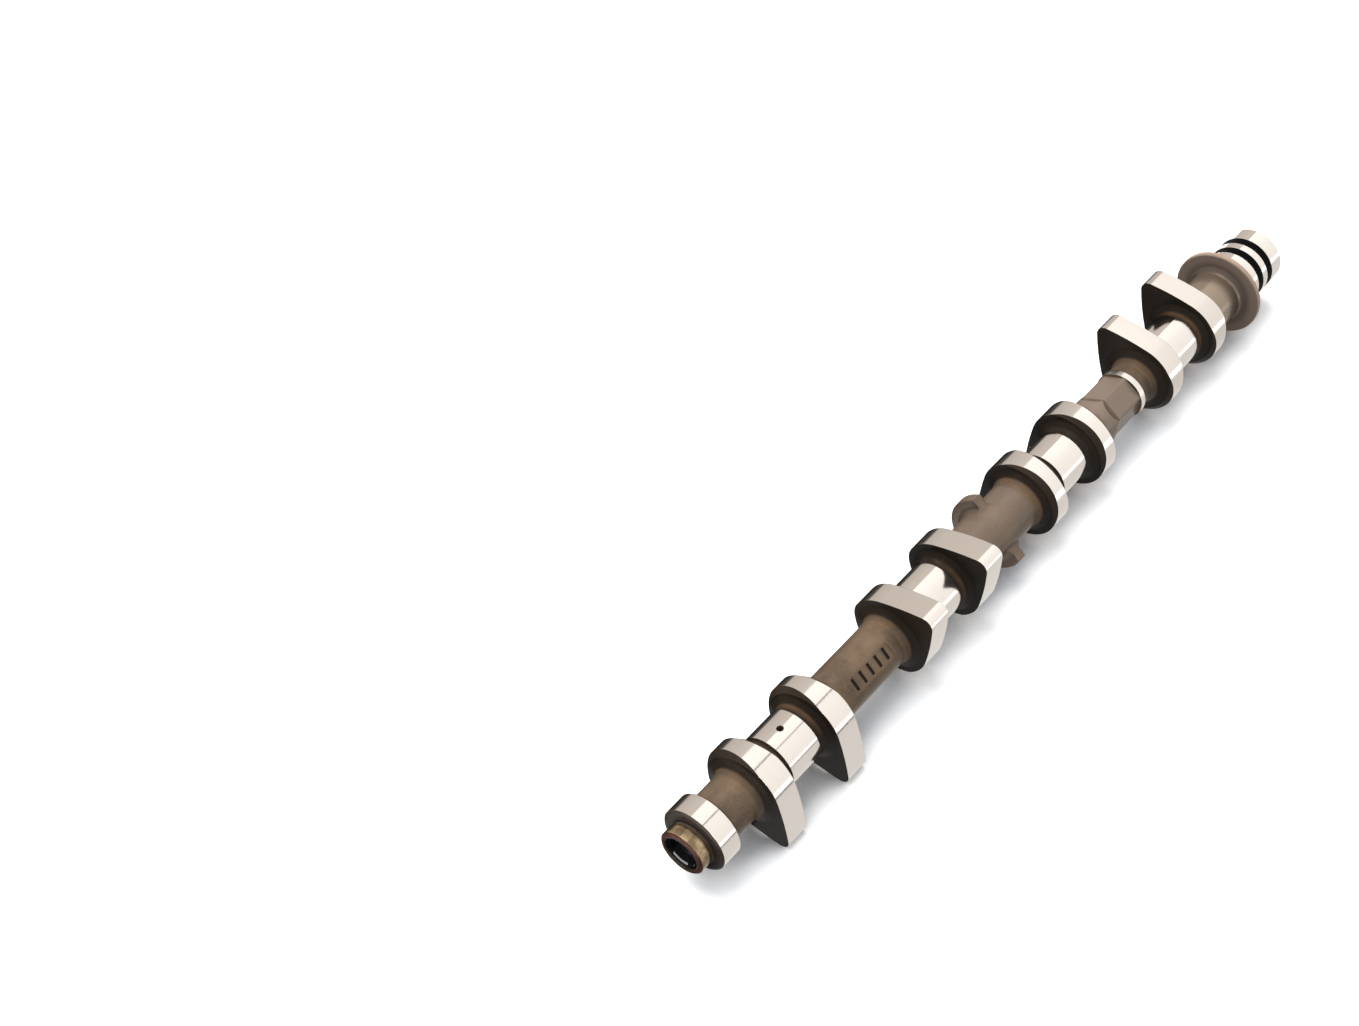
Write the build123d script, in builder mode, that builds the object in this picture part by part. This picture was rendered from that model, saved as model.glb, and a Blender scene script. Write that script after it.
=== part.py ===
from build123d import *
from math import cos, radians, sin, sqrt
import os

os.makedirs("parts", exist_ok=True)

# Overhead camshaft of an in-line four: one chilled-iron casting with ground lobes and journals.
# Lengths are millimetres. A station is a distance along the shaft from the plugged end face.
# The shaft lies along X, drive end towards +X, and rests on the noses of its lobes.
# An angle around the shaft is counted from +Y towards +Z.

# Plugged end: spigot, then a ground collar
SPIGOT_LENGTH = 7.4
SPIGOT_RADIUS = 10.2
SPIGOT_CHAMFER = 0.7
RELIEF_WIDTH = 1.6
RELIEF_DEPTH = 0.5
COLLAR_WIDTH = 10.6
COLLAR_RADIUS = 14.75
COLLAR_CHAMFER = 0.6

# Bearing journals, one in the middle of each cylinder's pair of lobes
CYLINDERS = 4
CYLINDER_PITCH = 96.0
FIRST_JOURNAL = 61.5
JOURNAL_RADIUS = 12.5
JOURNAL_WIDTH = 17.3

# Lobes: base circle, two long convex flanks and a nose
BASE_RADIUS = 18.5
NOSE_RADIUS = 4.5
LIFT = 10.0
FLANK_RADIUS = 120.0
LOBE_WIDTH = 11.3
LOBE_GAP = 4.95
FIRING_ORDER = (1, 3, 4, 2)
FIRST_NOSE_ANGLE = 225.0

# Bevel of the raw casting, which grinding leaves on the back of every base circle
CAST_EDGE = 2.4
CAST_SHIFT = 3.5

# As-cast shaft between the lobes, and the hollow flares in which it climbs to their faces
SHAFT_RADIUS = 11.2
MIDDLE_RADIUS = 11.75
GAP_RADIUS = 11.6
FLARE_LENGTH = 4.4
FLARE_RADIUS = 15.6
FLARE_STEPS = 2
COLLAR_FOOT = 1.6

# Half-moon trigger disc, half way between the second and third journals
TRIGGER_RADIUS = 18.0
TRIGGER_WIDTH = 5.0
TRIGGER_CHORD = 6.9
TRIGGER_ANGLE = 135.0
TRIGGER_FLARE = 2.0
TRIGGER_EDGE = 0.5

# Cast wrench hexagon that runs out towards the lobes, a turned land behind it, then a neck
HEX_ACROSS_FLATS = 19.6
HEX_LENGTH = 16.0
HEX_RUNOUT = 6.0
HEX_CORNER_ANGLE = 160.0
LAND_RADIUS = 11.6
LAND_WIDTH = 3.2
LAND_TO_JOURNAL = 39.3
NECK_RADIUS = 10.8

# Flat pad with plain recessed bars on the shaft between the first two cylinders
PAD_LENGTH = 26.0
PAD_HEIGHT = 10.6
PAD_ANGLE = 138.0
PAD_TO_JOURNAL = 48.1
BAR_COUNT = 5
BAR_LENGTH = 5.6
BAR_WIDTH = 1.5
BAR_DEPTH = 0.4
BAR_PITCH = 5.0

# Thrust flange and the ground drive nose with its two sealing rings
THRUST_FROM_JOURNAL = 48.4
THRUST_NECK_RADIUS = 12.8
THRUST_FOOT = 2.2
FLANGE_RADIUS = 21.3
FLANGE_WIDTH = 3.0
FLANGE_EDGE = 0.5
DRIVE_RADIUS = 14.25
DRIVE_LENGTH = 33.0
DRIVE_CHAMFER = 0.6
RING_WIDTH = 4.4
RING_DEPTH = 2.2
RING_CLEARANCE = 0.04
RING_SPLIT = 0.4
RING_SPLIT_ANGLE = 300.0
FIRST_RING = 11.3
RING_LAND = 4.0

# Bores: plug seat, oil gallery, radial oil holes, threaded bore of the drive end, dowel hole
PLUG_RADIUS = 7.8
PLUG_SEAT_DEPTH = 9.0
PLUG_LENGTH = 6.5
PLUG_WALL = 1.6
PLUG_DISH = 2.0
PLUG_SET_IN = 0.9
PRESS_FIT = 0.01
GALLERY_RADIUS = 3.5
GALLERY_PAST_JOURNAL = 10.0
OIL_HOLE_RADIUS = 1.5
OIL_HOLE_ANGLES = (90.0, 210.0, 330.0)
HIDDEN_OIL_HOLE_ANGLE = 300.0
BOLT_RADIUS = 5.4
BOLT_DEPTH = 30.0
PILOT_RADIUS = 6.6
PILOT_DEPTH = 3.0
DOWEL_RADIUS = 2.0
DOWEL_OFFSET = 10.2
DOWEL_ANGLE = 306.0
DOWEL_DEPTH = 7.0
DOWEL_PROUD = 5.0
DOWEL_EDGE = 0.4

# Stations and places worked out from the sizes above
LAST_JOURNAL = FIRST_JOURNAL + (CYLINDERS - 1) * CYLINDER_PITCH
THRUST_FACE = LAST_JOURNAL + THRUST_FROM_JOURNAL
DRIVE_START = THRUST_FACE + FLANGE_WIDTH
LENGTH = DRIVE_START + DRIVE_LENGTH
LOBE_INNER = JOURNAL_WIDTH / 2 + LOBE_GAP
LOBE_OUTER = LOBE_INNER + LOBE_WIDTH
TRIGGER_STATION = FIRST_JOURNAL + 1.5 * CYLINDER_PITCH
LAND_START = LAST_JOURNAL - LAND_TO_JOURNAL
HEX_FLAT = HEX_ACROSS_FLATS / 2
PAD_STATION = FIRST_JOURNAL + CYLINDER_PITCH - PAD_TO_JOURNAL
RING_STARTS = [DRIVE_START + FIRST_RING + i * (RING_WIDTH + RING_LAND) for i in range(2)]

NOSE_OFFSET = BASE_RADIUS + LIFT - NOSE_RADIUS
X_START = -(LENGTH + DOWEL_PROUD) / 2
AXIS_HEIGHT = max(FLANGE_RADIUS, NOSE_OFFSET * sin(radians(45)) + NOSE_RADIUS)
SHAFT_AXIS = Axis((X_START, 0, AXIS_HEIGHT), (1, 0, 0))


def cross_plane(station, angle=0.0):
    """Plane square to the shaft, its normal to the drive end and its x out at the angle."""
    out = (0, cos(radians(angle)), sin(radians(angle)))
    return Plane((X_START + station, 0, AXIS_HEIGHT), x_dir=out, z_dir=(1, 0, 0))


def side_plane(station=0.0, angle=90.0):
    """Plane through the shaft's axis, its x to the drive end and its y out at the angle."""
    square = (0, -sin(radians(angle)), cos(radians(angle)))
    return Plane((X_START + station, 0, AXIS_HEIGHT), x_dir=(1, 0, 0), z_dir=square)


def out_plane(station, angle, radius):
    """Plane square to the direction at the angle, at a radius, its x to the drive end."""
    out = (0, cos(radians(angle)), sin(radians(angle)))
    place = Vector(X_START + station, 0, AXIS_HEIGHT) + Vector(*out) * radius
    return Plane(place, x_dir=(1, 0, 0), z_dir=out)


def journal_station(cylinder):
    return FIRST_JOURNAL + (cylinder - 1) * CYLINDER_PITCH


def nose_angle(cylinder):
    """The noses turn a quarter for each step of the firing order."""
    return FIRST_NOSE_ANGLE + 90 * FIRING_ORDER.index(cylinder)


def climb(face, radius, length):
    """Points of the hollow flare from a thin length, at the radius, to a lobe's face.
    A negative length means that the thin length lies before the face."""
    turns = [radians(90 * step / FLARE_STEPS) for step in range(FLARE_STEPS + 1)]
    rise = FLARE_RADIUS - radius
    return [(face + length * (1 - sin(turn)), radius + rise * (1 - cos(turn))) for turn in turns]


def turned_outline():
    """Half profile of the turned body, from the plugged end face to the drive end face."""
    relief_start, relief_radius = SPIGOT_LENGTH - RELIEF_WIDTH, SPIGOT_RADIUS - RELIEF_DEPTH
    collar_end = SPIGOT_LENGTH + COLLAR_WIDTH
    points = [(0, 0), (0, SPIGOT_RADIUS), (relief_start, SPIGOT_RADIUS)]
    points += [(relief_start, relief_radius), (SPIGOT_LENGTH, relief_radius)]
    points += [(SPIGOT_LENGTH, COLLAR_RADIUS), (collar_end, COLLAR_RADIUS)]
    points += [(collar_end, SHAFT_RADIUS)]
    thin = (SHAFT_RADIUS, SHAFT_RADIUS, MIDDLE_RADIUS, LAND_RADIUS, THRUST_NECK_RADIUS)
    for cylinder in range(1, CYLINDERS + 1):
        middle, half = journal_station(cylinder), JOURNAL_WIDTH / 2
        before, after = thin[cylinder - 1 : cylinder + 1]
        if before == LAND_RADIUS:
            land_end = LAND_START + LAND_WIDTH
            points += [(land_end, LAND_RADIUS), (land_end, NECK_RADIUS)]
            before = NECK_RADIUS
        points += climb(middle - LOBE_OUTER, before, -FLARE_LENGTH)
        points += reversed(climb(middle - LOBE_INNER, GAP_RADIUS, LOBE_GAP))
        points += [(middle - half, JOURNAL_RADIUS), (middle + half, JOURNAL_RADIUS)]
        points += climb(middle + LOBE_INNER, GAP_RADIUS, -LOBE_GAP)
        points += reversed(climb(middle + LOBE_OUTER, after, FLARE_LENGTH))
    points += [(THRUST_FACE, THRUST_NECK_RADIUS), (THRUST_FACE, FLANGE_RADIUS)]
    points += [(DRIVE_START, FLANGE_RADIUS), (DRIVE_START, DRIVE_RADIUS)]
    return points + [(LENGTH, DRIVE_RADIUS), (LENGTH, 0)]


def at_radius(vertices, radius):
    return [v for v in vertices if abs(v.Y - radius) < 0.001]


def corner(vertices, station, radius):
    """The one corner of a half profile at the station and the radius."""
    return [v for v in at_radius(vertices, radius) if abs(v.X - station) < 0.001]


# Cam profile: half of it is drawn, nose towards +X, and mirrored. The centre of the flank lies
# where one circle touches the base circle and the nose from outside both.
to_base, to_nose = FLANK_RADIUS - BASE_RADIUS, FLANK_RADIUS - NOSE_RADIUS
flank_x = (to_base**2 - to_nose**2 + NOSE_OFFSET**2) / (2 * NOSE_OFFSET)
flank_centre = Vector(flank_x, -sqrt(to_base**2 - flank_x**2))
base_touch = -flank_centre.normalized() * BASE_RADIUS
nose_centre = Vector(NOSE_OFFSET, 0)
nose_touch = nose_centre + (nose_centre - flank_centre).normalized() * NOSE_RADIUS
nose_tip = nose_centre + Vector(NOSE_RADIUS, 0)
half_width = LOBE_WIDTH / 2

with BuildPart() as lobe:
    with BuildSketch():
        with BuildLine():
            RadiusArc((-BASE_RADIUS, 0), base_touch, BASE_RADIUS)
            RadiusArc(base_touch, nose_touch, FLANK_RADIUS)
            RadiusArc(nose_touch, nose_tip, NOSE_RADIUS)
            mirror(about=Plane.XZ)
        make_face()
    extrude(amount=half_width, both=True)
    # the raw bevel is turned about an axis shifted to the nose, so it fades out at the flanks
    rim = BASE_RADIUS + CAST_SHIFT
    with BuildSketch(Plane((CAST_SHIFT, 0, 0), x_dir=(0, -1, 0), z_dir=(-1, 0, 0))):
        with BuildLine():
            on_face, on_rim = (rim - CAST_EDGE, half_width), (rim, half_width - CAST_EDGE)
            Polyline(on_face, on_rim, (rim + 1, half_width - CAST_EDGE), (rim + 1, half_width + 1))
            Polyline((rim + 1, half_width + 1), (rim - CAST_EDGE, half_width + 1), on_face)
        make_face()
        mirror(about=Plane.XZ)
    revolve(axis=Axis((CAST_SHIFT, 0, 0), (0, 0, -1)), revolution_arc=180, mode=Mode.SUBTRACT)

# Half-moon: a turned disc that flares at its root, cut off along a chord
with BuildPart() as trigger:
    with BuildSketch(side_plane(TRIGGER_STATION)) as trigger_section:
        Rectangle(TRIGGER_WIDTH, TRIGGER_RADIUS, align=(Align.CENTER, Align.MIN))
        Trapezoid(
            TRIGGER_WIDTH + 2 * MIDDLE_RADIUS + 2 * TRIGGER_FLARE,
            MIDDLE_RADIUS + TRIGGER_FLARE,
            45,
            align=(Align.CENTER, Align.MIN),
        )
        chamfer(at_radius(trigger_section.vertices(), TRIGGER_RADIUS), TRIGGER_EDGE)
    revolve(axis=SHAFT_AXIS)
    with BuildSketch(cross_plane(TRIGGER_STATION, TRIGGER_ANGLE)):
        with Locations((TRIGGER_CHORD, 0)):
            Rectangle(2 * TRIGGER_RADIUS, 3 * TRIGGER_RADIUS, align=(Align.MIN, Align.CENTER))
    extrude(amount=TRIGGER_RADIUS, both=True, mode=Mode.SUBTRACT)

with BuildPart() as camshaft:
    # turned body, with its ground edges broken and a foot at the collar and the flange
    with BuildSketch(side_plane()) as turned:
        with BuildLine():
            Polyline(*turned_outline(), close=True)
        make_face()
        chamfer(corner(turned.vertices(), 0, SPIGOT_RADIUS), SPIGOT_CHAMFER)
        chamfer(at_radius(turned.vertices(), COLLAR_RADIUS), COLLAR_CHAMFER)
        chamfer(corner(turned.vertices(), SPIGOT_LENGTH + COLLAR_WIDTH, SHAFT_RADIUS), COLLAR_FOOT)
        chamfer(corner(turned.vertices(), THRUST_FACE, THRUST_NECK_RADIUS), THRUST_FOOT)
        chamfer(at_radius(turned.vertices(), FLANGE_RADIUS), FLANGE_EDGE)
        chamfer(corner(turned.vertices(), LENGTH, DRIVE_RADIUS), DRIVE_CHAMFER)
    revolve(axis=SHAFT_AXIS)

    for cylinder in range(1, CYLINDERS + 1):
        for side in (-1, 1):
            station = journal_station(cylinder) + side * (LOBE_INNER + half_width)
            with Locations(cross_plane(station, nose_angle(cylinder)).location):
                add(lobe.part)
    add(trigger.part)

    # six cast flats, each curving out of the shaft and ending square at the turned land
    for flat in range(6):
        with BuildSketch(side_plane(LAND_START, HEX_CORNER_ANGLE + 60 * flat + 30)):
            with BuildLine():
                clear = LAND_RADIUS + 0.3
                Polyline((-HEX_LENGTH, HEX_FLAT), (0, HEX_FLAT), (0, clear))
                Line((0, clear), (-HEX_LENGTH - HEX_RUNOUT, clear))
                TangentArc(
                    (-HEX_LENGTH, HEX_FLAT),
                    (-HEX_LENGTH - HEX_RUNOUT, clear),
                    tangent=(-1, 0),
                )
            make_face()
        extrude(amount=LAND_RADIUS, both=True, mode=Mode.SUBTRACT)

    # the pad and its bars
    with BuildSketch(out_plane(PAD_STATION, PAD_ANGLE, PAD_HEIGHT)):
        Rectangle(PAD_LENGTH, 2 * SHAFT_RADIUS)
    extrude(amount=SHAFT_RADIUS, mode=Mode.SUBTRACT)
    with BuildSketch(out_plane(PAD_STATION, PAD_ANGLE, PAD_HEIGHT)):
        with GridLocations(BAR_PITCH, 0, BAR_COUNT, 1):
            Rectangle(BAR_WIDTH, BAR_LENGTH)
    extrude(amount=-BAR_DEPTH, mode=Mode.SUBTRACT)

    # grooves of the sealing rings
    with BuildSketch(side_plane()):
        for start in RING_STARTS:
            with Locations((start, DRIVE_RADIUS - RING_DEPTH)):
                Rectangle(RING_WIDTH, 2 * RING_DEPTH, align=Align.MIN)
    revolve(axis=SHAFT_AXIS, mode=Mode.SUBTRACT)

    # plug seat, oil gallery to the last journal, and the oil holes into it
    gallery_length = LAST_JOURNAL + GALLERY_PAST_JOURNAL
    for radius, depth in ((PLUG_RADIUS, PLUG_SEAT_DEPTH), (GALLERY_RADIUS, gallery_length)):
        with BuildSketch(cross_plane(0)):
            Circle(radius)
        extrude(amount=depth, mode=Mode.SUBTRACT)
    for cylinder in range(1, CYLINDERS + 1):
        angles = OIL_HOLE_ANGLES if cylinder == 1 else (HIDDEN_OIL_HOLE_ANGLE,)
        for angle in angles:
            with BuildSketch(out_plane(journal_station(cylinder), angle, 0)):
                Circle(OIL_HOLE_RADIUS)
            extrude(amount=JOURNAL_RADIUS + 1, mode=Mode.SUBTRACT)

    # bolt bore with its pilot, and the dowel hole, in the drive end face
    for radius, depth in ((BOLT_RADIUS, BOLT_DEPTH), (PILOT_RADIUS, PILOT_DEPTH)):
        with BuildSketch(cross_plane(LENGTH)):
            Circle(radius)
        extrude(amount=-depth, mode=Mode.SUBTRACT)
    with BuildSketch(cross_plane(LENGTH, DOWEL_ANGLE)):
        with Locations((DOWEL_OFFSET, 0)):
            Circle(DOWEL_RADIUS)
    extrude(amount=-DOWEL_DEPTH, mode=Mode.SUBTRACT)

camshaft.part.label = "camshaft"
export_step(camshaft.part, "parts/camshaft.step")

# Plug of the gallery: a deep dish outwards, behind a bevelled lip
with BuildPart() as gallery_plug:
    with BuildSketch(side_plane(PLUG_SET_IN)) as plug_section:
        with BuildLine():
            outer = PLUG_RADIUS - PRESS_FIT
            inner = outer - PLUG_WALL
            Polyline((PLUG_DISH, 0), (PLUG_DISH, inner), (0, inner), (0, outer))
            Polyline((0, outer), (PLUG_LENGTH, outer), (PLUG_LENGTH, 0), (PLUG_DISH, 0))
        make_face()
        for lip_radius in (outer, inner):
            chamfer(corner(plug_section.vertices(), 0, lip_radius), PLUG_WALL / 3)
    revolve(axis=SHAFT_AXIS)

gallery_plug.part.label = "gallery_plug"
export_step(gallery_plug.part, "parts/gallery_plug.step")


def ring_section(start):
    """Cross-section of the split ring that fills the groove at the station."""
    inside = DRIVE_RADIUS - RING_DEPTH + RING_CLEARANCE
    with Locations((start + RING_CLEARANCE, inside)):
        Rectangle(RING_WIDTH - 2 * RING_CLEARANCE, DRIVE_RADIUS - inside, align=Align.MIN)


with BuildPart() as seal_ring_inner:
    with BuildSketch(side_plane()):
        ring_section(RING_STARTS[0])
    revolve(axis=SHAFT_AXIS)
    with BuildSketch(cross_plane(RING_STARTS[0], RING_SPLIT_ANGLE)):
        Rectangle(2 * DRIVE_RADIUS, RING_SPLIT, align=(Align.MIN, Align.CENTER))
    extrude(amount=RING_WIDTH, mode=Mode.SUBTRACT)

seal_ring_inner.part.label = "seal_ring_inner"
export_step(seal_ring_inner.part, "parts/seal_ring_inner.step")

with BuildPart() as seal_ring_outer:
    with BuildSketch(side_plane()):
        ring_section(RING_STARTS[1])
    revolve(axis=SHAFT_AXIS)
    with BuildSketch(cross_plane(RING_STARTS[1], RING_SPLIT_ANGLE)):
        Rectangle(2 * DRIVE_RADIUS, RING_SPLIT, align=(Align.MIN, Align.CENTER))
    extrude(amount=RING_WIDTH, mode=Mode.SUBTRACT)

seal_ring_outer.part.label = "seal_ring_outer"
export_step(seal_ring_outer.part, "parts/seal_ring_outer.step")

# Dowel that times the sprocket, standing out of the end face
with BuildPart() as dowel_pin:
    with BuildSketch(cross_plane(LENGTH - DOWEL_DEPTH + PRESS_FIT, DOWEL_ANGLE)):
        with Locations((DOWEL_OFFSET, 0)):
            Circle(DOWEL_RADIUS - PRESS_FIT)
    extrude(amount=DOWEL_DEPTH + DOWEL_PROUD - PRESS_FIT)
    chamfer(dowel_pin.faces().sort_by(Axis.X)[-1].edges(), DOWEL_EDGE)

dowel_pin.part.label = "dowel_pin"
export_step(dowel_pin.part, "parts/dowel_pin.step")
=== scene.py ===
import math

import bpy
from bpy.props import FloatProperty, FloatVectorProperty, PointerProperty
from mathutils import Matrix, Vector


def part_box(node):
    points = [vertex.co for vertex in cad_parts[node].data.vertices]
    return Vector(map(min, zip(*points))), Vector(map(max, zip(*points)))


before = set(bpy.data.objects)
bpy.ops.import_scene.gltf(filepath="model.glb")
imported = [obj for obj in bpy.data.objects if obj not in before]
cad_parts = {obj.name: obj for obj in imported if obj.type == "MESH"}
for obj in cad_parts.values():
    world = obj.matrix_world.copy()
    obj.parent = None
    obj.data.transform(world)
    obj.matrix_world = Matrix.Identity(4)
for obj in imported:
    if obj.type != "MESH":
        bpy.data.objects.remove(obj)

bl_info = {
    "name": "Camshaft finish",
    "version": (1, 0, 0),
    "blender": (4, 5, 0),
    "location": "3D View > Sidebar > Camshaft",
    "description": "Ground and as-cast finishes, seals, plug, dowel and studio for an overhead camshaft",
    "category": "Material",
}

# The casting's box gives the place of its plugged end face and of its axis, in metres
CAST_LOW, CAST_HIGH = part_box("camshaft")
END_FACE = CAST_LOW[0]
AXIS_HEIGHT = (CAST_LOW[2] + CAST_HIGH[2]) / 2

# A normal's X, whatever its sign, is under the first on faces that look outwards. It is over the
# second on turned faces that look to the drive end
OUTWARD_LEAN = 0.12
TURNED_LEAN = 0.9

# Regions of the casting lie outside these radii, in metres
JOURNAL_OVER = 0.0117
LOBE_OVER = 0.016
COLLAR_OVER = 0.014
NOSE_OVER = 0.0135
TURNED_OVER = 0.0066
SPIGOT_OVER = 0.0099
RIM_OVER = 0.0205

# Regions of the casting lie inside these radii, in metres
GAP_UNDER = 0.0150
BAR_UNDER = 0.01085
BORE_UNDER = 0.0081

# Where the tints beside lobes, gap, flange, pad and end face start or stop, in metres, and the
# direction in which the pad faces, from +Y towards +Z. Beside lobes and gaps these are a painted
# highlight and a painted glint, on the flange and in the pad's bars painted shade
NEAR_LOBE = (0.008, 0.031)
HIGHLIGHT_REACH = 0.0072
GLINT_FULL = 0.0118
FLANGE_REACH = 0.012
TURNED_AFTER = 0.001
PAD_HALF = 0.0125
BAR_DEPTH = 0.008
END_DEPTH = 0.0008
PAD_DIRECTION = math.radians(138.0)

# Stations and radii, in metres, at which a mask starts and ends its change from 0 to 1
BODY_BEGINS = (0.186, 0.190)
BODY_ENDS = (0.225, 0.221)
NECK_BEGINS = (0.3745, 0.3775)
NECK_RADIUS = (0.0140, 0.0131)
FAR_LOBES = (0.300, 0.345)
STEEP_RADIUS = (0.0135, 0.0155)
PLATE_RADIUS = (0.0190, 0.0135)
SMOOTH_RADIUS = (0.0158, 0.0172)

# The same for noises, slopes and free air, which have no unit
TONE = (0.28, 0.72)
MOTTLE = (0.30, 0.70)
HIGHLIGHT_SPOTS = (0.38, 0.64)
GLINT_SPOTS = (0.42, 0.70)
STAIN_SPOTS = (0.40, 0.62)
STEEP_SLOPE = (0.15, 0.75)
FACE_AIR = (0.42, 0.88)
FLOOR_AIR = (0.27, 0.79)

# Share of the large patches in the skin's tone; the fine grain has the rest
PATCH_SHARE = 0.75

# How far each tint, painted shade and painted glint covers what lies under it
BODY_TINT = 0.45
GAP_SHADE = 0.94
GLINT_SHARE = 0.50
PLATE_SHADE = 0.6
RECESS_SHADE = 0.93
WEAR_TINT = 0.12
FAR_SHADE = 0.45
MOTTLE_LEAST = 0.6

# How far off a thing still takes free air from a lobe's face and from the floor, in metres
FACE_AIR_REACH = 0.040
FLOOR_AIR_REACH = 0.035

# Radii of the rounding that only the normals have, in metres
SHARP_EDGE = 0.00035
SOFT_EDGE = 0.0019

# Weights of the relief in the bump
ROUGH_RELIEF = 0.6
LINE_RELIEF = 0.04
WAVE_RELIEF = 0.05
THREAD_RELIEF = 3.0
BUMP_DEPTH = 0.00004

# How metallic the turned spigot is, and the cast skin and then its dark faces
SPIGOT_METAL = 0.9
SKIN_METAL = (0.28, 0.05)

# How much of the shine of turned iron the neck before the flange has
NECK_SHINE = 0.7

# Roughness; a pair goes with the grain, or on ground iron with the wear
SKIN_ROUGH = (0.30, 0.38)
FACE_ROUGH = (0.44, 0.52)
TURNED_ROUGH = 0.19
GROUND_ROUGH = (0.10, 0.15)
LAND_ROUGH = 0.28

# The key lamp is a sun: where it stands, how wide it looks and its tint
KEY_TOWARDS = (0.12, 0.50, 1.25)
KEY_SPREAD = math.radians(50.0)
KEY_TINT = (1.0, 0.97, 0.93)

# Floor and cards of the studio, in metres, how far the paper's grain shows, and the cards' tints,
# of which the last is a brightness
FLOOR_HALF = 6.0
CARD_LEFT = -2.5
CARD_HEIGHT = 0.0006
PAPER_TINT = 0.02
WHITE = (1.0, 0.98, 0.95)
WARM = (1.0, 0.92, 0.845)
BLACK = 0.02


class NodeBench:
    """Short calls that lay out one material's or world's node tree."""

    def __init__(self, tree):
        self.tree = tree
        tree.nodes.clear()

    def add(self, kind, settings=None, **inputs):
        """Adds a node. Keyword names are its inputs, with _ for a space; a socket value is linked."""
        node = self.tree.nodes.new(kind)
        for key, value in (settings or {}).items():
            setattr(node, key, value)
        for key, value in inputs.items():
            self.feed(node.inputs[key.replace("_", " ")], value)
        return node

    def feed(self, socket, value):
        if isinstance(value, bpy.types.NodeSocket):
            self.tree.links.new(value, socket)
        else:
            socket.default_value = value

    def place(self):
        """Coordinates of the piece, which are those of the shared frame, in metres."""
        return self.add("ShaderNodeTexCoord").outputs["Object"]

    def split(self, vector):
        return self.add("ShaderNodeSeparateXYZ", None, Vector=vector).outputs

    def math(self, operation, a, b=0.0):
        node = self.add("ShaderNodeMath", {"operation": operation})
        self.feed(node.inputs[0], a)
        self.feed(node.inputs[1], b)
        return node.outputs[0]

    def chain(self, operation, values):
        found = values[0]
        for value in values[1:]:
            found = self.math(operation, found, value)
        return found

    def sum(self, *values):
        return self.chain("ADD", values)

    def either(self, *masks):
        """The strongest of the masks."""
        return self.chain("MAXIMUM", masks)

    def both(self, *masks):
        """All masks multiplied; a number among them weakens or strengthens the rest."""
        return self.chain("MULTIPLY", masks)

    def outside(self, mask):
        """1 where the mask is 0, and 0 where it is 1."""
        return self.math("SUBTRACT", 1.0, mask)

    def over(self, value, limit):
        return self.math("GREATER_THAN", value, limit)

    def under(self, value, limit):
        return self.math("LESS_THAN", value, limit)

    def between(self, value, low, high):
        """1 where the value lies between low and high, else 0."""
        return self.both(self.over(value, low), self.under(value, high))

    def ease(self, value, low, high):
        """Changes smoothly from 0 at low to 1 at high, also where low is the greater number."""
        node = self.add("ShaderNodeMapRange", {"interpolation_type": "SMOOTHSTEP"})
        for name, number in (("Value", value), ("From Min", low), ("From Max", high)):
            self.feed(node.inputs[name], number)
        return node.outputs["Result"]

    def mix(self, kind, factor, a, b):
        node = self.add("ShaderNodeMix", {"data_type": kind})
        for name, value in (("Factor", factor), ("A", a), ("B", b)):
            self.feed(node.inputs[name], value)
        return node.outputs["Result"]

    def blend(self, factor, a, b):
        """Colour a where factor is 0 and colour b where it is 1."""
        return self.mix("RGBA", factor, a, b)

    def level(self, factor, a, b):
        """Number a where factor is 0 and number b where it is 1."""
        return self.mix("FLOAT", factor, a, b)

    def noise(self, vector, scale, detail, roughness):
        node = self.add("ShaderNodeTexNoise", None, Scale=scale, Detail=detail, Roughness=roughness)
        self.feed(node.inputs["Vector"], vector)
        return node.outputs["Fac"]

    def lines(self, vector, along, across, detail, roughness):
        """Noise drawn out to lines round the shaft: it changes faster along than across."""
        node = self.add("ShaderNodeMapping")
        self.feed(node.inputs["Vector"], vector)
        node.inputs["Scale"].default_value = (along, across, across)
        return self.noise(node.outputs["Vector"], 1.0, detail, roughness)

    def free_air(self, samples, reach):
        """1 where nothing stands within reach of the surface, less where something does."""
        return self.add("ShaderNodeAmbientOcclusion", {"samples": samples}, Distance=reach).outputs["AO"]

    def rounded(self, samples, radius):
        """Normals as if the edges were rounded."""
        return self.add("ShaderNodeBevel", {"samples": samples}, Radius=radius).outputs[0]

    def bump(self, height, distance, strength, normal=None):
        node = self.add("ShaderNodeBump", None, Strength=strength, Distance=distance, Height=height)
        if normal is not None:
            self.feed(node.inputs["Normal"], normal)
        return node.outputs["Normal"]

    def looked_at(self):
        """1 where the camera, gloss or glass looks at the surface, 0 where it only gives light."""
        rays = self.add("ShaderNodeLightPath").outputs
        return self.either(rays["Is Camera Ray"], rays["Is Glossy Ray"], rays["Is Transmission Ray"])

    def surface(self, **inputs):
        """Principled surface to the material's output."""
        shader = self.add("ShaderNodeBsdfPrincipled", None, **inputs)
        self.add("ShaderNodeOutputMaterial", None, Surface=shader.outputs[0])


def colour(name, description, default):
    return FloatVectorProperty(
        name=name, description=description, default=default, size=3, min=0.0, max=1.0, subtype="COLOR"
    )


def length(name, description, default):
    return FloatProperty(name=name, description=description, default=default, min=0.0, unit="LENGTH")


def strength(name, description, default):
    return FloatProperty(name=name, description=description, default=default, min=0.0)


def opaque(shade):
    return (*shade, 1.0)


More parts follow.
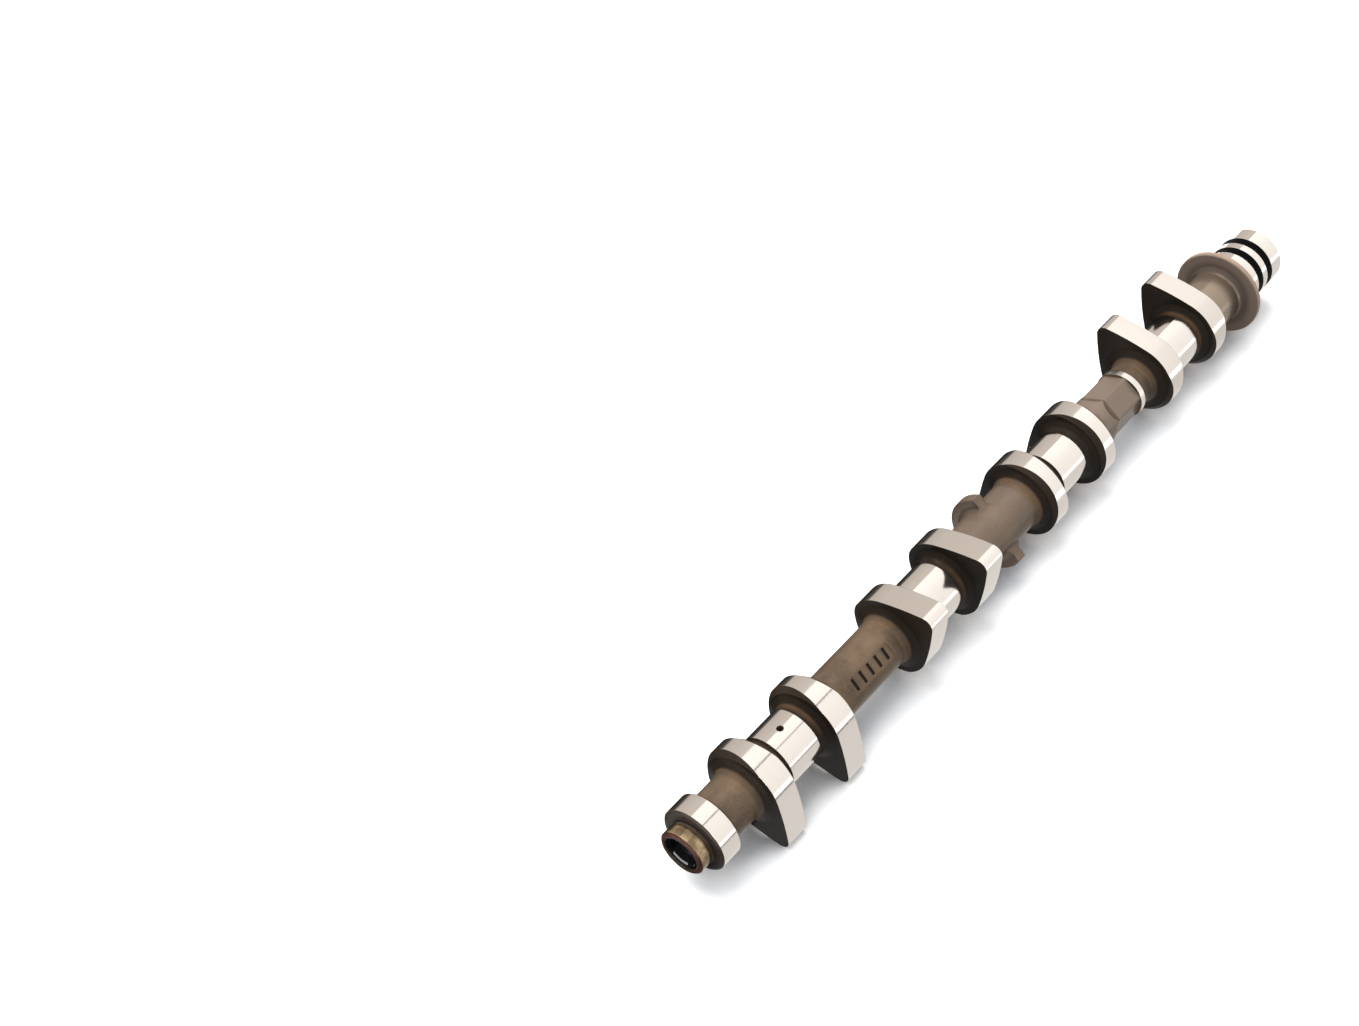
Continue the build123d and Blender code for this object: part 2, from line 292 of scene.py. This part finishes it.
class CastingSettings(bpy.types.PropertyGroup):
    """Where the casting is ground, and its colours. Stations start at the plugged end face."""

    first_journal: length("First journal", "Station of the middle of the first journal", 0.0615)
    journal_pitch: length("Journal pitch", "Distance from one journal to the next", 0.096)
    journal_half: length("Journal half width", "Half the width of a journal", 0.0088)
    lobe_from: length("Lobe starts", "Distance from the journal's middle to the lobe's nearer face", 0.0134)
    lobe_to: length("Lobe ends", "Distance from the journal's middle to the lobe's farther face", 0.0251)
    collar_from: length("Collar starts", "Station of the collar's first face", 0.0073)
    collar_to: length("Collar ends", "Station of the collar's last face", 0.0181)
    land_from: length("Land starts", "Station of the turned land behind the hexagon", 0.3101)
    land_to: length("Land ends", "Station of the turned land's end", 0.3135)
    nose_from: length("Drive nose starts", "Station where the ground drive nose starts", 0.4008)
    bolt_radius: length("Bolt bore radius", "Radius of the threaded bore in the drive end", 0.0056)
    thread_pitch: length("Thread pitch", "Pitch of the thread in the bolt bore", 0.00125)
    flange_from: length("Flange starts", "Station of the thrust flange's first face", 0.3978)
    hexagon_from: length("Hexagon starts", "Station where the neck before the hexagon starts", 0.2800)
    pad_middle: length("Pad", "Station of the middle of the flat pad", 0.1094)
    pad_floor: length("Pad's bars", "Distance from the axis below which the pad's bars are dark", 0.01045)
    ground: colour("Ground", "Bright ground iron", (0.81, 0.76, 0.715))
    cast_light: colour("Cast light", "Lighter patches of the as-cast skin", (0.248, 0.174, 0.114))
    cast_dark: colour("Cast dark", "Darker patches of the as-cast skin", (0.122, 0.088, 0.062))
    # Painted highlight: the golden flare colour stands in for light caught at the feet of the lobes
    flare_highlight: colour("Flare", "Golden tone in the flares at the feet of the lobes", (0.235, 0.140, 0.068))
    # Painted glint: the orange colour stands in for light caught in the flares beside the journals
    orange_glint: colour("Ember", "Orange heat tint in the flares beside the journals", (0.340, 0.175, 0.075))
    cast_hexagon: colour("Hexagon", "Pinkish grey of hexagon and middle length", (0.300, 0.232, 0.186))
    neck: colour("Neck", "Lighter skin of the neck before the thrust flange", (0.345, 0.274, 0.210))
    # Painted shade: the near-black lobe face colour stands in for the shade on lobe faces, steep flares and
    # gaps
    face: colour("Lobe face", "Dark skin on the faces of lobes and flange", (0.0110, 0.0090, 0.0075))
    # Painted light: the browner face colour is where the faces stand free of shaft and floor
    face_lit: colour("Open lobe face", "Browner skin where lobe faces stand free", (0.062, 0.044, 0.031))
    flange: colour("Flange face", "Brown skin on the face of the thrust flange", (0.400, 0.304, 0.246))
    # Real wear in the bands; painted shade on the lobes near the flange
    worn_and_shaded: colour("Worn", "Duller ground iron in bands of wear and on the far lobes", (0.60, 0.54, 0.49))
    # Painted shade: the near-black colour of the bores and the pad's bars stands for the shade in them
    recess_shade: colour("Oil", "Old oil in the bores and in the bars of the pad", (0.012, 0.009, 0.007))
    spigot: colour("Spigot", "Golden turned skin of the spigot", (0.500, 0.370, 0.220))
    stain: colour("Stain", "Brown stain on the spigot", (0.200, 0.145, 0.092))
    rim: colour("Flange rim", "Warm turned rim of the thrust flange", (0.520, 0.385, 0.290))
    end_face: colour("End face", "Dark reddish skin of the plugged end face", (0.062, 0.018, 0.010))


class TrimSettings(bpy.types.PropertyGroup):
    """Colours of the seals, plug and dowel."""

    seal: colour("Seal", "Black of the sealing rings", (0.002, 0.002, 0.0022))
    plug: colour("Plug", "Black coat of the gallery plug", (0.008, 0.008, 0.010))
    dowel: colour("Dowel", "Ground steel of the dowel pin", (0.62, 0.61, 0.60))


class StudioSettings(bpy.types.PropertyGroup):
    """Floor, lamps and camera."""

    floor: colour("Floor", "Pale floor", (0.92, 0.92, 0.925))
    grain: colour("Paper grain", "Grey of the floor's faint grain", (0.8, 0.8, 0.8))
    bounce: colour("Bounce", "What the floor is to the light that it throws back", (0.25, 0.25, 0.25))
    glow_tint: colour("Glow tint", "Tint of the floor's own brightness", (0.96, 0.98, 1.0))
    sky_tint: colour("Sky tint", "Tint of the even light from all round", (0.90, 0.945, 1.0))
    camera_place: FloatVectorProperty(
        name="Camera place", description="Where the camera stands", size=3, unit="LENGTH",
        default=(-0.513302, -0.320827, 0.626367),
    )
    camera_turn: FloatProperty(
        name="Camera turn", description="Direction of view round the vertical, 0 along +Y", subtype="ANGLE",
        default=math.radians(-44.6475),
    )
    camera_tilt: FloatProperty(
        name="Camera tilt", description="How far the camera looks down", subtype="ANGLE",
        default=math.radians(44.5217),
    )
    camera_roll: FloatProperty(
        name="Camera roll", description="Turn of the picture about the line of view", subtype="ANGLE",
        default=math.radians(-7.5925),
    )
    lens: FloatProperty(
        name="Lens", description="Focal length in millimetres", default=52.058, min=1.0, unit="CAMERA"
    )
    key: strength("Key lamp", "Strength of the soft key lamp", 2.75)
    sky: strength("Sky", "Strength of the even light from all round", 0.38)
    glow: strength("Floor glow", "Brightness that the floor has of its own where it is looked at", 0.62)
    overhead: strength("Overhead card", "Brightness of the card above", 1.38)
    front: strength("Front card", "Brightness of the card on the camera's side", 1.24)
    left: strength("Left card", "Brightness of the card on the left", 0.60)
    low: strength("Low card", "Brightness of the card on the floor", 0.82)
    glint: strength("Glint card", "Brightness of the card that lights the plug's rim", 12.0)
    flag: strength("Flags", "Brightness of the dark lines between the cards", 0.12)


def new_material(name):
    material = bpy.data.materials.new(name)
    material.use_nodes = True
    return material, NodeBench(material.node_tree)


def dress(node, material):
    """Gives every material slot of a frame node the material."""
    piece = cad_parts[node]
    if not piece.material_slots:
        piece.data.materials.append(material)
    for slot in piece.material_slots:
        slot.material = material


def speckled(bench, specks, shade, factor):
    """The shade, and where the specks are bright the shade times the factor."""
    return bench.blend(specks, opaque(shade), opaque([factor * part for part in shade]))


class CastingIron:
    """Iron that is ground where it runs in bearings or on tappets, and as cast elsewhere.
    Each method lays out one region of the material, from masks of place and direction."""

    def __init__(self, settings):
        self.s = settings
        self.material, self.bench = new_material("chilled_iron")
        self.measure()
        self.find_ground()
        self.find_edges()
        self.find_cast()
        skin = self.paint_ends(self.paint_faces(self.paint_shaft()))
        self.bench.surface(
            Base_Color=self.bench.blend(self.ground, self.paint_recess_shade(skin), self.paint_ground()),
            Metallic=self.metal_share(),
            Specular_IOR_Level=0.12,
            Roughness=self.roughness(),
            Normal=self.relief(),
        )

    def measure(self):
        """Station and radius of a point, its distance from the next journal, and where it faces."""
        bench = self.bench
        self.place = bench.place()
        split = bench.split(self.place)
        self.side = split["Y"]
        self.height = bench.math("SUBTRACT", split["Z"], AXIS_HEIGHT)
        self.station = bench.math("SUBTRACT", split["X"], END_FACE)
        squares = [bench.math("POWER", part, 2.0) for part in (self.side, self.height)]
        self.radius = bench.math("SQRT", bench.sum(*squares))
        from_first = bench.math("SUBTRACT", self.station, self.s.first_journal)
        self.from_journal = bench.math("PINGPONG", from_first, self.s.journal_pitch / 2)
        self.facing = bench.split(bench.add("ShaderNodeNewGeometry").outputs["True Normal"])["X"]
        self.outward = bench.under(bench.math("ABSOLUTE", self.facing), OUTWARD_LEAN)
        self.inward = bench.outside(self.outward)
        self.patches = bench.noise(self.place, 55.0, 4.0, 0.6)
        self.grain = bench.noise(self.place, 900.0, 3.0, 0.6)
        self.wear = bench.lines(self.place, 420.0, 30.0, 3.0, 0.5)

    def region(self, distance, first, last, radius):
        """Mask of what lies between two distances along the shaft and outside the radius."""
        bench = self.bench
        return bench.both(bench.between(distance, first, last), bench.over(self.radius, radius))

    def find_ground(self):
        """Journals, lobes, collar, land and drive nose, and the turned faces of the drive end."""
        bench, s = self.bench, self.s
        journal = self.region(self.from_journal, -s.journal_half, s.journal_half, JOURNAL_OVER)
        collar = self.region(self.station, s.collar_from, s.collar_to, COLLAR_OVER)
        nose = bench.both(bench.over(self.station, s.nose_from), bench.over(self.radius, NOSE_OVER))
        self.lobe = self.region(self.from_journal, s.lobe_from, s.lobe_to, LOBE_OVER)
        self.land = bench.between(self.station, s.land_from, s.land_to)
        turned = bench.both(
            bench.over(self.facing, TURNED_LEAN),
            bench.over(self.station, s.flange_from + TURNED_AFTER),
            bench.over(self.radius, TURNED_OVER),
        )
        running = bench.either(journal, self.lobe, collar, self.land, nose)
        self.ground = bench.either(bench.both(self.outward, running), turned)

    def find_edges(self):
        """Rounded normals: the creases of the flares are blended away, other edges only broken."""
        bench = self.bench
        sharp = bench.rounded(4, SHARP_EDGE)
        soft = bench.rounded(8, SOFT_EDGE)
        self.slope = bench.math("ABSOLUTE", bench.split(soft)["X"])
        raised = bench.ease(self.radius, *SMOOTH_RADIUS)
        smooth = bench.both(bench.outside(raised), bench.outside(self.ground))
        self.edge = bench.mix("VECTOR", smooth, sharp, soft)

    def find_cast(self):
        """The regions of the as-cast skin."""
        bench, s = self.bench, self.s
        neck_begins = bench.ease(self.station, *NECK_BEGINS)
        neck_ends = bench.under(self.station, s.flange_from)
        self.neck = bench.both(neck_begins, bench.ease(self.radius, *NECK_RADIUS), neck_ends)
        self.near_lobe = bench.between(self.from_journal, *NEAR_LOBE)
        self.gap = bench.both(
            bench.between(self.from_journal, s.journal_half, s.lobe_from), bench.under(self.radius, GAP_UNDER)
        )
        self.flange = bench.over(self.station, s.flange_from - FLANGE_REACH)
        # Faces along the axis and steep flare slopes are painted in shade
        raised = bench.both(self.inward, bench.ease(self.radius, *STEEP_RADIUS))
        steep_shade = bench.either(bench.ease(self.slope, *STEEP_SLOPE), raised)
        plugged_end = bench.under(self.station, s.collar_to)
        self.steep_shade = bench.both(steep_shade, bench.either(self.near_lobe, self.flange, plugged_end))
        self.spigot = bench.both(
            bench.under(self.station, s.collar_from), bench.over(self.radius, SPIGOT_OVER), self.outward
        )

    def spots(self, scale, detail, limits):
        """Soft spots of the noise that reach from 0 to 1 between the limits."""
        return self.bench.ease(self.bench.noise(self.place, scale, detail, 0.5), *limits)

    def paint_shaft(self):
        """Mottled brown-grey skin, its pinker lengths, a painted golden highlight and a painted orange
        glint beside the lobes, and painted shade in the gaps.
        """
        bench, s = self.bench, self.s
        tone = bench.sum(bench.both(self.patches, PATCH_SHARE), bench.both(self.grain, 1 - PATCH_SHARE))
        skin = bench.blend(bench.ease(tone, *TONE), opaque(s.cast_dark), opaque(s.cast_light))
        body = bench.both(bench.ease(self.station, *BODY_BEGINS), bench.ease(self.station, *BODY_ENDS))
        skin = bench.blend(bench.both(body, BODY_TINT), skin, opaque(s.cast_hexagon))
        skin = bench.blend(self.neck, skin, opaque(s.neck))
        hexagon = bench.both(bench.between(self.station, s.hexagon_from, s.land_from), self.outward)
        skin = bench.blend(hexagon, skin, opaque(s.cast_hexagon))

        # Painted highlight in the flares, strongest beside a lobe's face
        before_lobe = bench.math("SUBTRACT", s.lobe_from, self.from_journal)
        after_lobe = bench.math("SUBTRACT", self.from_journal, s.lobe_to)
        flare = bench.ease(bench.either(before_lobe, after_lobe), HIGHLIGHT_REACH, 0.0)
        gold_highlight = bench.both(self.near_lobe, flare, self.spots(90.0, 2.0, HIGHLIGHT_SPOTS))
        skin = bench.blend(gold_highlight, skin, opaque(s.flare_highlight))
        # Painted shade in the gaps between journals and lobes
        skin = bench.blend(bench.both(self.gap, GAP_SHADE), skin, opaque(s.face))
        # Painted orange glint on the gap flares, growing towards the lobe
        highlight = bench.ease(self.from_journal, s.journal_half, GLINT_FULL)
        orange_glint = bench.both(self.gap, highlight, self.spots(60.0, 2.0, GLINT_SPOTS), GLINT_SHARE)
        return bench.blend(orange_glint, skin, opaque(s.orange_glint))

    def paint_faces(self, skin):
        """Painted shade on the faces of lobes and flares, painted light where they stand free, and the
        flange's brown plate with painted shade at its foot.
        """
        bench, s = self.bench, self.s
        mottle = bench.level(bench.ease(self.patches, *MOTTLE), MOTTLE_LEAST, 1.0)
        # Painted light and shade by occlusion: lobe faces are lighter where nothing stands near
        free = bench.ease(bench.free_air(6, FACE_AIR_REACH), *FACE_AIR)
        face = bench.blend(bench.both(free, mottle), opaque(s.face), opaque(s.face_lit))
        # Painted shade on the flange's face, darker towards the neck
        foot_shade = bench.both(bench.ease(self.radius, *PLATE_RADIUS), PLATE_SHADE)
        plate = bench.blend(foot_shade, opaque(s.flange), opaque(s.face))
        return bench.blend(self.steep_shade, skin, bench.blend(self.flange, face, plate))

    def paint_ends(self, skin):
        """Golden spigot, reddish end face and the flange's warm rim."""
        bench, s = self.bench, self.s
        spigot = bench.blend(self.spots(150.0, 3.0, STAIN_SPOTS), opaque(s.spigot), opaque(s.stain))
        skin = bench.blend(self.spigot, skin, spigot)
        end_face = bench.both(bench.under(self.station, END_DEPTH), self.inward)
        skin = bench.blend(end_face, skin, opaque(s.end_face))
        rim = bench.both(self.region(self.station, s.flange_from, s.nose_from, RIM_OVER), self.outward)
        return bench.blend(rim, skin, opaque(s.rim))

    def paint_recess_shade(self, skin):
        """Painted shade in the bores and in the bars of the pad."""
        bench, s = self.bench, self.s
        to_side = bench.both(self.side, math.cos(PAD_DIRECTION))
        to_top = bench.both(self.height, math.sin(PAD_DIRECTION))
        depth = bench.between(bench.sum(to_side, to_top), BAR_DEPTH, s.pad_floor)
        from_pad = bench.math("ABSOLUTE", bench.math("SUBTRACT", self.station, s.pad_middle))
        bars = bench.both(depth, bench.under(from_pad, PAD_HALF), bench.under(self.radius, BAR_UNDER))
        recesses = bench.either(bars, bench.under(self.radius, BORE_UNDER))
        return bench.blend(bench.both(recesses, RECESS_SHADE), skin, opaque(s.recess_shade))

    def paint_ground(self):
        """Bright iron with faint bands of wear, and painted shade that makes the lobes near the flange
        duller.
        """
        bench, s = self.bench, self.s
        # Painted shade on the lobes near the flange
        far_lobe_shade = bench.both(self.lobe, bench.ease(self.station, *FAR_LOBES), FAR_SHADE)
        dull = bench.either(bench.both(self.wear, WEAR_TINT), far_lobe_shade)
        return bench.blend(dull, opaque(s.ground), opaque(s.worn_and_shaded))

    def metal_share(self):
        """How metallic: all of the ground iron, most of spigot and neck, little of the skin."""
        bench = self.bench
        skin = bench.level(bench.either(self.steep_shade, self.gap), *SKIN_METAL)
        spigot = bench.both(self.spigot, SPIGOT_METAL)
        return bench.either(self.ground, spigot, bench.both(self.neck, NECK_SHINE), skin)

    def roughness(self):
        """Rough skin, rougher on dark faces, and smooth where spigot, neck and ground iron are turned."""
        bench = self.bench
        skin = bench.level(self.grain, *SKIN_ROUGH)
        skin = bench.level(self.steep_shade, skin, bench.level(self.grain, *FACE_ROUGH))
        smooth = bench.either(self.spigot, bench.both(self.neck, NECK_SHINE))
        skin = bench.level(smooth, skin, TURNED_ROUGH)
        ground = bench.either(bench.level(self.wear, *GROUND_ROUGH), bench.both(self.land, LAND_ROUGH))
        return bench.level(self.ground, skin, ground)

    def thread(self):
        """Helix of the thread in the drive end's bore."""
        bench, s = self.bench, self.s
        angle = bench.math("ARCTAN2", self.side, self.height)
        turns = bench.sum(bench.both(self.station, 2 * math.pi / s.thread_pitch), angle)
        bore = bench.both(
            bench.under(self.radius, s.bolt_radius), bench.over(self.station, s.nose_from), self.outward
        )
        return bench.both(bench.math("SINE", turns), bore, THREAD_RELIEF)

    def relief(self):
        """Rough skin, fine lines round the ground iron and the thread, as bump on the rounded edges."""
        bench = self.bench
        rough = bench.noise(self.place, 2100.0, 3.0, 0.65)
        waves = bench.noise(self.place, 240.0, 1.0, 0.4)
        lines = bench.lines(self.place, 5200.0, 18.0, 2.0, 0.6)
        skin = bench.sum(bench.both(rough, ROUGH_RELIEF), self.grain)
        ground = bench.sum(bench.both(lines, LINE_RELIEF), bench.both(waves, WAVE_RELIEF))
        height = bench.sum(bench.level(self.ground, skin, ground), self.thread())
        return bench.bump(height, BUMP_DEPTH, 0.7, self.edge)


class CAMSHAFT_OT_finish_casting(bpy.types.Operator):
    """Give the casting its ground and as-cast iron"""

    bl_idname = "camshaft.finish_casting"
    bl_label = "Finish casting"

    def execute(self, context):
        dress("camshaft", CastingIron(context.scene.camshaft_casting).material)
        return {"FINISHED"}


class CAMSHAFT_OT_finish_seals(bpy.types.Operator):
    """Give both sealing rings their black filled plastic"""

    bl_idname = "camshaft.finish_seals"
    bl_label = "Finish sealing rings"

    def execute(self, context):
        material, bench = new_material("seal_black")
        place = bench.place()
        specks = bench.noise(place, 1500.0, 2.0, 0.6)
        lines = bench.lines(place, 3500.0, 25.0, 2.0, 0.5)
        bench.surface(
            Base_Color=speckled(bench, specks, context.scene.camshaft_trim.seal, 2.2),
            Roughness=bench.level(specks, 0.42, 0.58),
            Specular_IOR_Level=0.02,
            Normal=bench.bump(bench.sum(lines, specks), 0.00003, 0.6),
        )
        for node in ("seal_ring_inner", "seal_ring_outer"):
            dress(node, material)
        return {"FINISHED"}


class CAMSHAFT_OT_finish_plug(bpy.types.Operator):
    """Give the gallery plug its black coat"""

    bl_idname = "camshaft.finish_plug"
    bl_label = "Finish gallery plug"

    def execute(self, context):
        material, bench = new_material("plug_black")
        specks = bench.noise(bench.place(), 1200.0, 3.0, 0.6)
        bench.surface(
            Base_Color=speckled(bench, specks, context.scene.camshaft_trim.plug, 1.8),
            Roughness=bench.level(specks, 0.06, 0.10),
            Specular_IOR_Level=0.3,
            Normal=bench.bump(specks, 0.00001, 0.3),
        )
        dress("gallery_plug", material)
        return {"FINISHED"}


class CAMSHAFT_OT_finish_dowel(bpy.types.Operator):
    """Give the dowel pin its ground steel"""

    bl_idname = "camshaft.finish_dowel"
    bl_label = "Finish dowel pin"

    def execute(self, context):
        material, bench = new_material("dowel_steel")
        lines = bench.lines(bench.place(), 4500.0, 40.0, 2.0, 0.6)
        bench.surface(
            Base_Color=speckled(bench, lines, context.scene.camshaft_trim.dowel, 0.8),
            Metallic=1.0,
            Roughness=bench.level(lines, 0.22, 0.34),
            Normal=bench.bump(lines, 0.00002, 0.5),
        )
        dress("dowel_pin", material)
        return {"FINISHED"}


class CAMSHAFT_OT_build_studio(bpy.types.Operator):
    """Lay the pale floor, hang the soft lamps and set the camera"""

    bl_idname = "camshaft.build_studio"
    bl_label = "Build studio"

    def execute(self, context):
        s = context.scene.camshaft_studio
        self.lay_floor(s)
        self.light_world(context, s)
        self.add_key(s)
        self.hang_cards(s)
        self.set_camera(context, s)
        context.scene.view_settings.view_transform = "Standard"
        return {"FINISHED"}

    def show(self, name, data):
        """A new object of the data, in the scene."""
        shown = bpy.data.objects.new(name, data)
        bpy.context.collection.objects.link(shown)
        return shown

    def lay_sheet(self, name, corners):
        """A flat sheet of four corners: two of its first edge, then two of its last."""
        mesh = bpy.data.meshes.new(name)
        mesh.from_pydata(corners, [], [(0, 1, 3, 2)])
        return self.show(name, mesh)

    def lay_floor(self, s):
        """Paper that is white where it is looked at and keeps the shadow of the shaft; its glow fades
        where something stands near, which paints shade round the contacts.
        """
        reach = FLOOR_HALF
        floor = self.lay_sheet("floor", [(x, y, 0) for y in (-reach, reach) for x in (-reach, reach)])
        material, bench = new_material("floor_white")
        paper = bench.noise(bench.place(), 300.0, 2.0, 0.5)
        shade = bench.blend(bench.both(paper, PAPER_TINT), opaque(s.floor), opaque(s.grain))
        lights = bench.add("ShaderNodeLightPath").outputs["Is Diffuse Ray"]
        # Painted contact shade: the floor's glow fades where something stands near
        free = bench.ease(bench.free_air(8, FLOOR_AIR_REACH), *FLOOR_AIR)
        bench.surface(
            Base_Color=bench.blend(lights, shade, opaque(s.bounce)),
            Roughness=1.0,
            Specular_IOR_Level=0.0,
            Emission_Color=opaque(s.glow_tint),
            Emission_Strength=bench.both(bench.looked_at(), free, s.glow),
        )
        floor.data.materials.append(material)

    def light_world(self, context, s):
        """Even light from all round, and plain white where the camera, gloss or glass looks at it."""
        world = bpy.data.worlds.new("studio")
        context.scene.world = world
        world.use_nodes = True
        bench = NodeBench(world.node_tree)
        sky = bench.add("ShaderNodeBackground", None, Color=opaque(s.sky_tint), Strength=s.sky)
        white = bench.add("ShaderNodeBackground", None, Color=(1.0, 1.0, 1.0, 1.0), Strength=1.0)
        mixed = bench.add("ShaderNodeMixShader", None, Fac=bench.looked_at())
        bench.feed(mixed.inputs[1], sky.outputs[0])
        bench.feed(mixed.inputs[2], white.outputs[0])
        bench.add("ShaderNodeOutputWorld", None, Surface=mixed.outputs[0])

    def add_key(self, s):
        """A broad soft sun, as even on the floor far off as on the object, and unseen in its gloss."""
        lamp = bpy.data.lights.new("key", "SUN")
        lamp.angle = KEY_SPREAD
        lamp.energy = s.key
        lamp.color = KEY_TINT
        key = self.show("key", lamp)
        key.rotation_euler = Vector(KEY_TOWARDS).to_track_quat("Z", "Y").to_euler()
        key.visible_glossy = False

    def hang_cards(self, s):
        """Soft boxes and flags beside the shaft, which only its gloss sees."""
        # round the shaft: two angles in degrees about its axis, from +Y towards +Z, the right end, the
        # distance from the axis, the first edge's brightness, and how many times as bright the last is
        for name, first, last, right, distance, brightness, far, tint in (
            ("card_overhead", 64.0, 107.2, 2.5, 1.0, s.overhead, 0.94, WHITE),
            ("card_front", 107.2, 189.0, 2.5, 1.0, s.front, 0.86, WHITE),
            ("card_left", -1.0, 64.0, 2.5, 1.2, s.left, 1.30, WARM),
            ("flag_seam", 105.4, 108.9, 0.48, 0.98, s.flag, 1.0, WARM),
        ):
            corners = []
            for angle in (math.radians(first), math.radians(last)):
                y, z = distance * math.cos(angle), AXIS_HEIGHT + distance * math.sin(angle)
                corners += [(CARD_LEFT, y, z), (right, y, z)]
            self.hang(name, corners, brightness, far, tint)

        # on the floor: the left end, then the y and the right end of the nearer and the farther edge
        for name, left, (near, near_right), (away, away_right), brightness, far, tint in (
            ("flag_front", -0.8, (-0.104, -0.03), (-0.138, -0.03), s.flag, 1.0, WARM),
            ("card_floor", -0.225, (-0.003, 0.4), (-0.104, 0.4), s.low, 1.0, WHITE),
            ("flag_under", -0.8, (-0.003, 0.4), (0.008, 0.4), BLACK, 1.0, WHITE),
            ("flag_left", -0.8, (0.030, 0.2), (1.2, 1.4), BLACK, 25.0, WARM),
            ("flag_end", -0.6, (-0.4, -0.226), (0.030, -0.226), BLACK, 1.0, WHITE),
        ):
            ends = ((left, near), (near_right, near), (left, away), (away_right, away))
            self.hang(name, [(x, y, CARD_HEIGHT) for x, y in ends], brightness, far, tint)

        # standing before the plugged end: x, the two y and the two z
        for name, x, sides, heights, brightness in (
            ("flag_far_end", -0.42, (-0.4, 0.4), (0.0, 0.30), BLACK),
            ("card_glint", -0.25, (-0.035, 0.032), (0.017, 0.044), s.glint),
        ):
            self.hang(name, [(x, y, z) for z in heights for y in sides], brightness, 1.0, WHITE)

    def hang(self, name, corners, brightness, far, tint):
        """A card that glows, from its first edge to far times as bright at its last."""
        card = self.lay_sheet(name, corners)
        card.visible_camera = card.visible_diffuse = False
        card.visible_shadow = card.visible_transmission = False
        material, bench = new_material(name)
        across = bench.split(bench.add("ShaderNodeTexCoord").outputs["Generated"])["Y"]
        ends = [brightness, brightness * far]
        last_has_lower_y = corners[2][1] < corners[0][1]
        if last_has_lower_y:
            ends.reverse()
        glow = bench.add("ShaderNodeEmission", None, Color=opaque(tint), Strength=bench.level(across, *ends))
        bench.add("ShaderNodeOutputMaterial", None, Surface=glow.outputs[0])
        card.data.materials.append(material)

    def set_camera(self, context, s):
        data = bpy.data.cameras.new("camera")
        camera = self.show("camera", data)
        ahead = Vector((
            -math.sin(s.camera_turn) * math.cos(s.camera_tilt),
            math.cos(s.camera_turn) * math.cos(s.camera_tilt),
            -math.sin(s.camera_tilt),
        ))
        level = ahead.to_track_quat("-Z", "Y").to_matrix().to_4x4()
        roll = Matrix.Rotation(s.camera_roll, 4, "Z")
        camera.matrix_world = Matrix.Translation(s.camera_place) @ level @ roll
        data.lens = s.lens
        data.sensor_width = 36.0
        data.clip_start, data.clip_end = 0.01, 50.0
        context.scene.camera = camera


class CAMSHAFT_PT_finish(bpy.types.Panel):
    """Lists the steps that finish the camshaft"""

    bl_idname = "CAMSHAFT_PT_finish"
    bl_label = "Camshaft"
    bl_space_type = "VIEW_3D"
    bl_region_type = "UI"
    bl_category = "Camshaft"

    def draw(self, context):
        scene = context.scene
        trim = (CAMSHAFT_OT_finish_seals, CAMSHAFT_OT_finish_plug, CAMSHAFT_OT_finish_dowel)
        for settings, operators in (
            (scene.camshaft_casting, (CAMSHAFT_OT_finish_casting,)),
            (scene.camshaft_trim, trim),
            (scene.camshaft_studio, (CAMSHAFT_OT_build_studio,)),
        ):
            box = self.layout.box()
            for name in settings.__annotations__:
                box.prop(settings, name)
            for operator in operators:
                box.operator(operator.bl_idname)


CLASSES = (
    CastingSettings,
    TrimSettings,
    StudioSettings,
    CAMSHAFT_OT_finish_casting,
    CAMSHAFT_OT_finish_seals,
    CAMSHAFT_OT_finish_plug,
    CAMSHAFT_OT_finish_dowel,
    CAMSHAFT_OT_build_studio,
    CAMSHAFT_PT_finish,
)


def register():
    for cls in CLASSES:
        bpy.utils.register_class(cls)
    bpy.types.Scene.camshaft_casting = PointerProperty(type=CastingSettings)
    bpy.types.Scene.camshaft_trim = PointerProperty(type=TrimSettings)
    bpy.types.Scene.camshaft_studio = PointerProperty(type=StudioSettings)


def unregister():
    del bpy.types.Scene.camshaft_studio
    del bpy.types.Scene.camshaft_trim
    del bpy.types.Scene.camshaft_casting
    for cls in reversed(CLASSES):
        bpy.utils.unregister_class(cls)


def main():
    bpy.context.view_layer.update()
    register()
    bpy.ops.camshaft.finish_casting()
    bpy.ops.camshaft.finish_seals()
    bpy.ops.camshaft.finish_plug()
    bpy.ops.camshaft.finish_dowel()
    bpy.ops.camshaft.build_studio()


if __name__ == "__main__":
    main()
